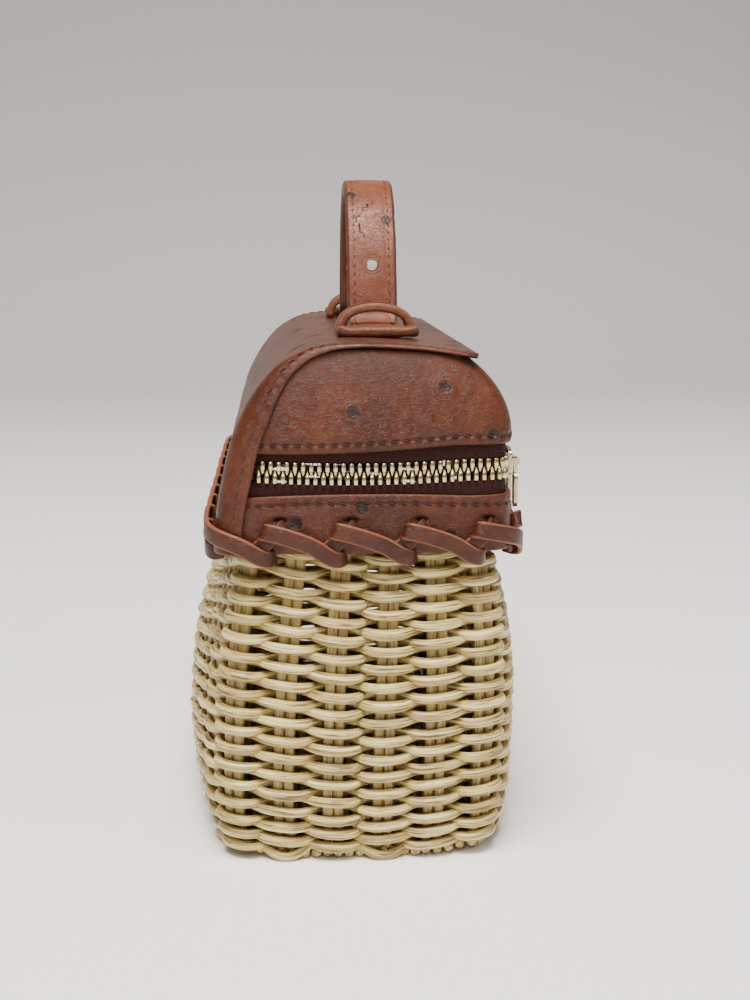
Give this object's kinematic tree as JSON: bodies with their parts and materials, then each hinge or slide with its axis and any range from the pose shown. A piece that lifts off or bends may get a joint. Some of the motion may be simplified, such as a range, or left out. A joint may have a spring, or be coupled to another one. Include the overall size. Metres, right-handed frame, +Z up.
{
  "type": "basket box bag",
  "caption": "Woven straw box bag with a zip-around leather lid, leather-laced rim, sliding zip pulls and a leather top handle.",
  "frame": {"origin": "centre of the flat underside of the basket, on the surface that the bag stands on", "axes": "+X along the bag's length, -Y towards the front with the zip sliders, +Z up"},
  "size_m": [0.1948, 0.1053, 0.192],
  "materials": {
    "straw": "natural pale reed, matt with a slight sheen",
    "ostrich_leather": "semi-gloss brown leather with quill marks and raw burnished edges",
    "handle_leather": "semi-gloss brown leather with dark painted edges",
    "lace_leather": "semi-gloss flat leather lace with pale edges",
    "zip_tape": "dark brown woven tape",
    "brass": "polished pale brass"
  },
  "bodies": {
    "basket": {"basket_wall": "straw", "rim_border": "straw", "foot_border": "straw", "basket_base": "straw", "lower_band": "ostrich_leather", "back_hinge_panel": "ostrich_leather", "lace": "lace_leather", "lower_zip_tape": "zip_tape", "lower_zip_teeth": "brass"},
    "lid": {"lid_top_panel": "ostrich_leather", "lid_gusset": "ostrich_leather", "upper_zip_tape": "zip_tape", "upper_zip_teeth": "brass", "handle_loop_left": "handle_leather", "handle_loop_right": "handle_leather"},
    "handle": {"handle_strap": "handle_leather"},
    "slider_left": {"slider_left": "brass"},
    "slider_right": {"slider_right": "brass"},
    "pull_left": {"pull_left": "brass"},
    "pull_right": {"pull_right": "brass"}
  },
  "joints": [
    {"name": "lid_hinge", "type": "hinge", "parent": "basket", "child": "lid", "pos_m": [0, 0.03718, 0.1115], "axis": [-1, 0, 0], "range_deg": [0, 110]},
    {"name": "handle_slide", "type": "slide", "parent": "lid", "child": "handle", "axis": [1, 0, 0], "range_m": [-0.0035, 0.0035]},
    {"name": "slider_left_slide", "type": "slide", "parent": "basket", "child": "slider_left", "axis": [-1, 0, 0], "range_m": [0, 0.004]},
    {"name": "slider_right_slide", "type": "slide", "parent": "basket", "child": "slider_right", "axis": [1, 0, 0], "range_m": [0, 0.14]},
    {"name": "pull_left_swing", "type": "hinge", "parent": "slider_left", "child": "pull_left", "pos_m": [-0.076, -0.0451, 0.1115], "axis": [-1, 0, 0], "range_deg": [0, 150]},
    {"name": "pull_right_swing", "type": "hinge", "parent": "slider_right", "child": "pull_right", "pos_m": [-0.0635, -0.0451, 0.1115], "axis": [-1, 0, 0], "range_deg": [0, 150]}
  ]
}
